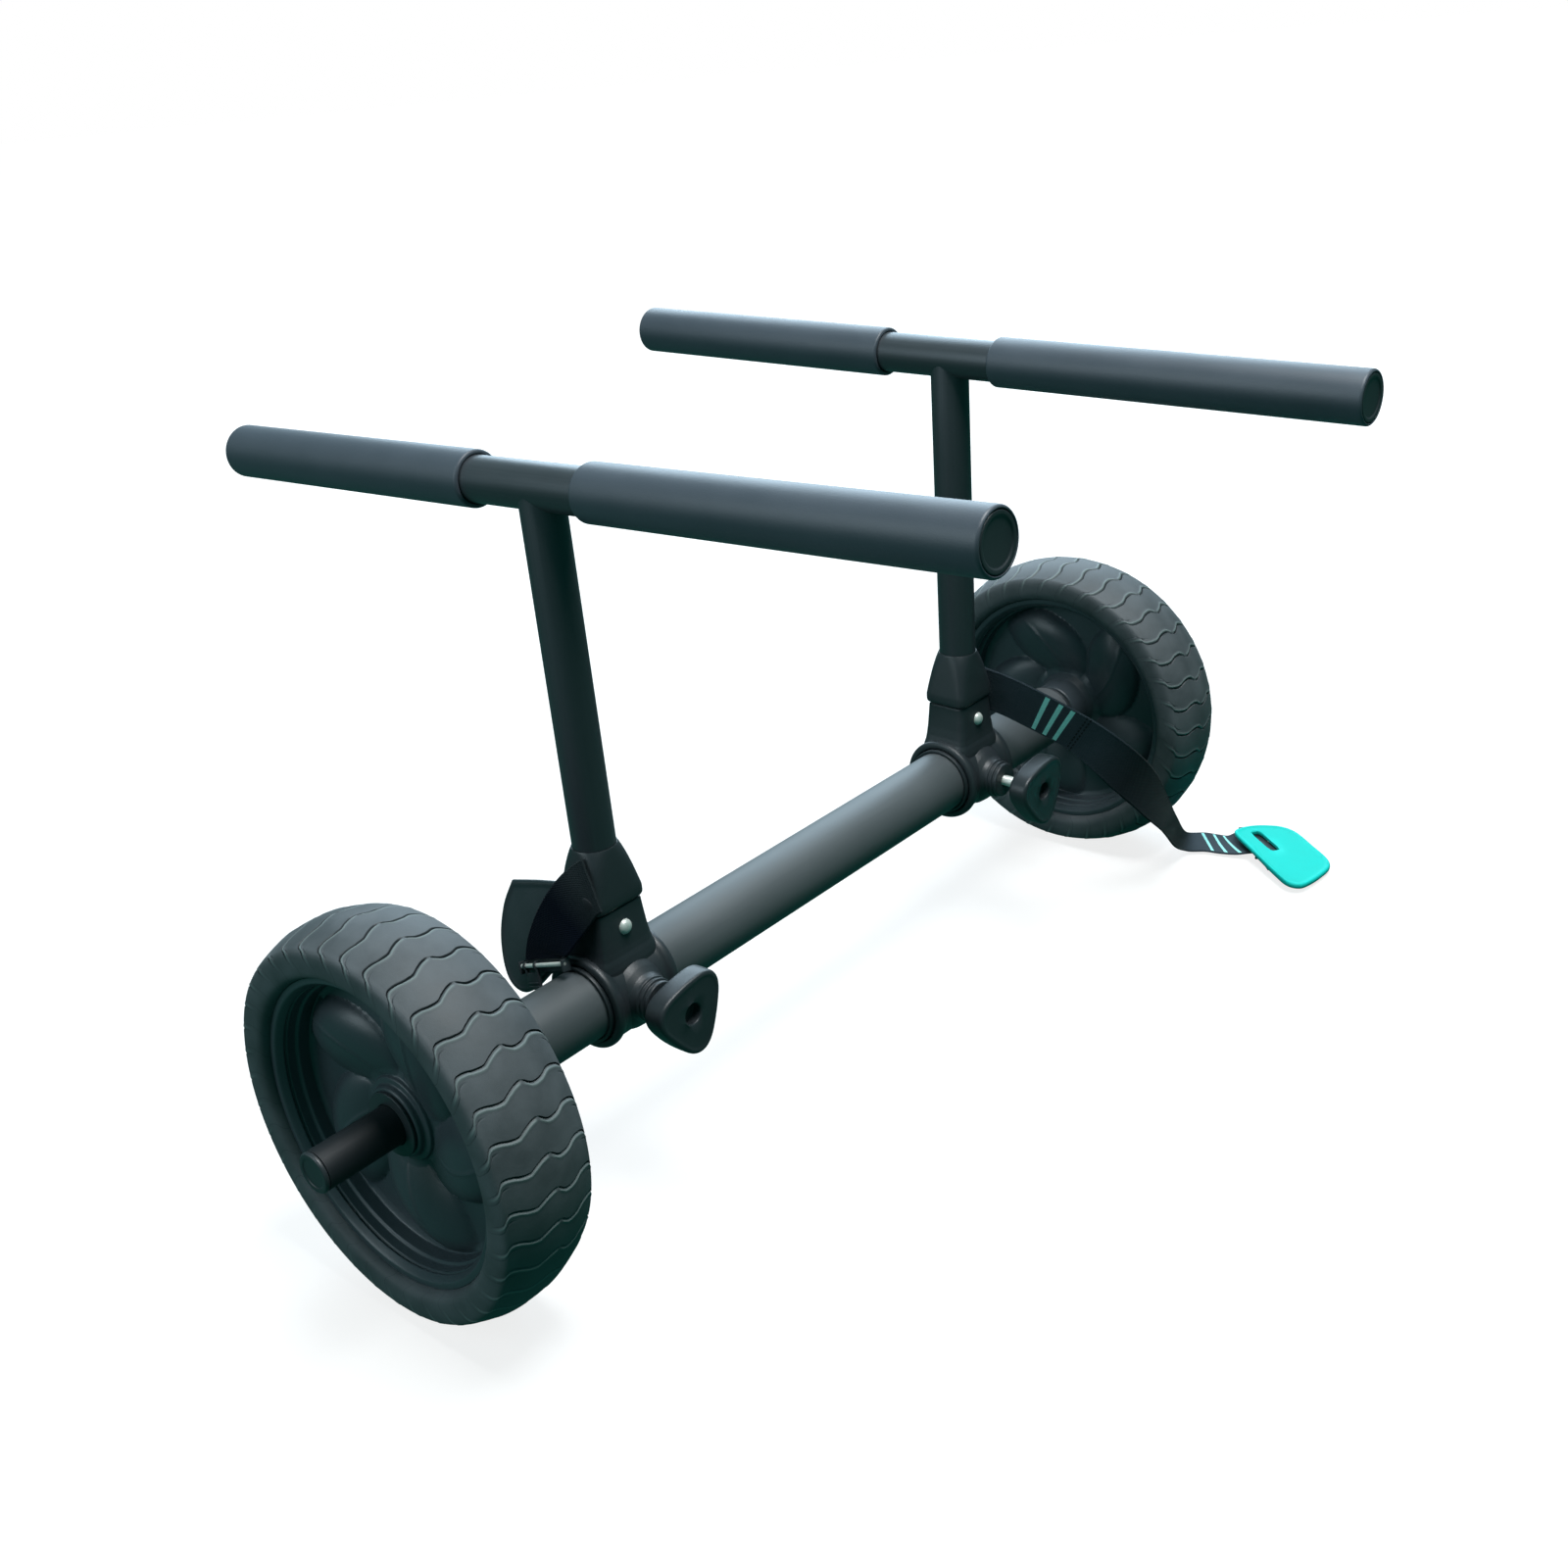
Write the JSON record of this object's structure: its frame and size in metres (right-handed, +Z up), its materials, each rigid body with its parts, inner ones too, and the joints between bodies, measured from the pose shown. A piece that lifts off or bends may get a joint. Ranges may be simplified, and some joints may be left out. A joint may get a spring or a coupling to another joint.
{
  "type": "paddleboard cart",
  "caption": "Two-wheel cart for a paddleboard: a tube axle on airless wheels, with clamp-on padded load bars and tie-down straps.",
  "frame": {"origin": "on the ground, under the middle of the load bars and of the axle", "axes": "+Z up, +Y along the axle to the far wheel, +X along the load bars to their front ends"},
  "size_m": [0.6052, 0.8266, 0.4591],
  "materials": {
    "tyre_rubber": "matt, finely grooved",
    "rim_plastic": "moulded, low sheen",
    "anodised_tube": "black anodised, satin",
    "moulded_plastic": "moulded, fine grain",
    "bar_foam": "closed foam with a smooth skin",
    "zinc_steel": "bright zinc",
    "blacked_steel": "blacked, satin",
    "black_webbing": "woven webbing",
    "teal_rubber": "soft moulding, satin",
    "black_rubber": "soft moulding, satin"
  },
  "bodies": {
    "axle": {"axle_tube": "anodised_tube", "near_axle_plug": "moulded_plastic", "near_thrust_washer": "zinc_steel", "near_spindle": "anodised_tube", "near_spindle_cap": "moulded_plastic", "far_axle_plug": "moulded_plastic", "far_thrust_washer": "zinc_steel", "far_spindle": "anodised_tube", "far_spindle_cap": "moulded_plastic"},
    "near_wheel": {"near_tyre": "tyre_rubber", "near_rim": "rim_plastic", "near_outer_bush": "moulded_plastic", "near_inner_bush": "moulded_plastic"},
    "near_lock": {"near_lock_button": "zinc_steel"},
    "near_liner_ring": {"near_liner": "moulded_plastic"},
    "near_support": {"near_collar": "moulded_plastic", "near_shoe": "moulded_plastic", "near_upright": "anodised_tube", "near_load_bar": "anodised_tube", "near_front_sleeve": "bar_foam", "near_rear_sleeve": "bar_foam", "near_front_plug": "moulded_plastic", "near_rear_plug": "moulded_plastic", "near_strap_rivet": "blacked_steel", "near_strap": "black_webbing", "near_buckle_frame": "moulded_plastic", "near_buckle_pin": "zinc_steel", "near_pad": "black_rubber", "near_clamp_foot": "moulded_plastic"},
    "near_screw": {"near_clamp_stud": "zinc_steel", "near_knob": "moulded_plastic"},
    "near_snap": {"near_snap_button": "zinc_steel"},
    "near_cam": {"near_cam_lever": "moulded_plastic"},
    "far_wheel": {"far_tyre": "tyre_rubber", "far_rim": "rim_plastic", "far_outer_bush": "moulded_plastic", "far_inner_bush": "moulded_plastic"},
    "far_lock": {"far_lock_button": "zinc_steel"},
    "far_liner_ring": {"far_liner": "moulded_plastic"},
    "far_support": {"far_collar": "moulded_plastic", "far_shoe": "moulded_plastic", "far_upright": "anodised_tube", "far_load_bar": "anodised_tube", "far_front_sleeve": "bar_foam", "far_rear_sleeve": "bar_foam", "far_front_plug": "moulded_plastic", "far_rear_plug": "moulded_plastic", "far_strap_rivet": "blacked_steel", "far_strap": "black_webbing", "far_buckle_frame": "moulded_plastic", "far_buckle_pin": "zinc_steel", "far_pad": "teal_rubber", "far_clamp_foot": "moulded_plastic"},
    "far_screw": {"far_clamp_stud": "zinc_steel", "far_knob": "moulded_plastic"},
    "far_snap": {"far_snap_button": "zinc_steel"},
    "far_cam": {"far_cam_lever": "moulded_plastic"}
  },
  "joints": [
    {"name": "near_wheel_spin", "type": "hinge", "parent": "axle", "child": "near_wheel", "pos_m": [-0.00725, -0.3448, 0.12], "axis": [0, 1, 0], "continuous": true},
    {"name": "near_lock_press", "type": "slide", "parent": "axle", "child": "near_lock", "axis": [0.7071, 0, 0.7071], "range_m": [0, 0.003], "stiffness_N_per_m": 400, "springref_m": -0.002},
    {"name": "near_support_slide", "type": "slide", "parent": "axle", "child": "near_liner_ring", "axis": [0, 1, 0], "range_m": [-0.06, 0.14]},
    {"name": "near_support_swing", "type": "hinge", "parent": "near_liner_ring", "child": "near_support", "pos_m": [-0.00725, -0.1857, 0.12], "axis": [0, 1, 0], "continuous": true},
    {"name": "near_knob_turn", "type": "hinge", "parent": "near_support", "child": "near_screw", "pos_m": [-0.00725, -0.1857, 0.12], "axis": [0.9998, 0, 0.0223], "range_deg": [0, 720]},
    {"name": "near_snap_press", "type": "slide", "parent": "near_support", "child": "near_snap", "axis": [-0.9998, 0, -0.0223], "range_m": [0, 0.0035], "stiffness_N_per_m": 500, "springref_m": -0.002},
    {"name": "near_cam_lift", "type": "hinge", "parent": "near_support", "child": "near_cam", "pos_m": [-0.02729, -0.22366, 0.14638], "axis": [-0.9469, -0.0532, -0.3172], "range_deg": [0, 60], "stiffness_Nm_per_rad": 0.02, "springref_deg": -17.19},
    {"name": "far_wheel_spin", "type": "hinge", "parent": "axle", "child": "far_wheel", "pos_m": [-0.00725, 0.3448, 0.12], "axis": [0, 1, 0], "continuous": true},
    {"name": "far_lock_press", "type": "slide", "parent": "axle", "child": "far_lock", "axis": [0.7071, 0, 0.7071], "range_m": [0, 0.003], "stiffness_N_per_m": 400, "springref_m": -0.002},
    {"name": "far_support_slide", "type": "slide", "parent": "axle", "child": "far_liner_ring", "axis": [0, 1, 0], "range_m": [-0.14, 0]},
    {"name": "far_support_swing", "type": "hinge", "parent": "far_liner_ring", "child": "far_support", "pos_m": [-0.00725, 0.1857, 0.12], "axis": [0, 1, 0], "continuous": true},
    {"name": "far_knob_turn", "type": "hinge", "parent": "far_support", "child": "far_screw", "pos_m": [-0.00725, 0.1857, 0.12], "axis": [0.9998, 0, -0.0223], "range_deg": [-720, 720]},
    {"name": "far_snap_press", "type": "slide", "parent": "far_support", "child": "far_snap", "axis": [-0.9998, 0, 0.0223], "range_m": [0, 0.0035], "stiffness_N_per_m": 500, "springref_m": -0.002},
    {"name": "far_cam_lift", "type": "hinge", "parent": "far_support", "child": "far_cam", "pos_m": [0.14065, 0.39087, 0.00445], "axis": [-0.7154, 0.6954, 0.068], "range_deg": [0, 60], "stiffness_Nm_per_rad": 0.02, "springref_deg": -17.19}
  ]
}
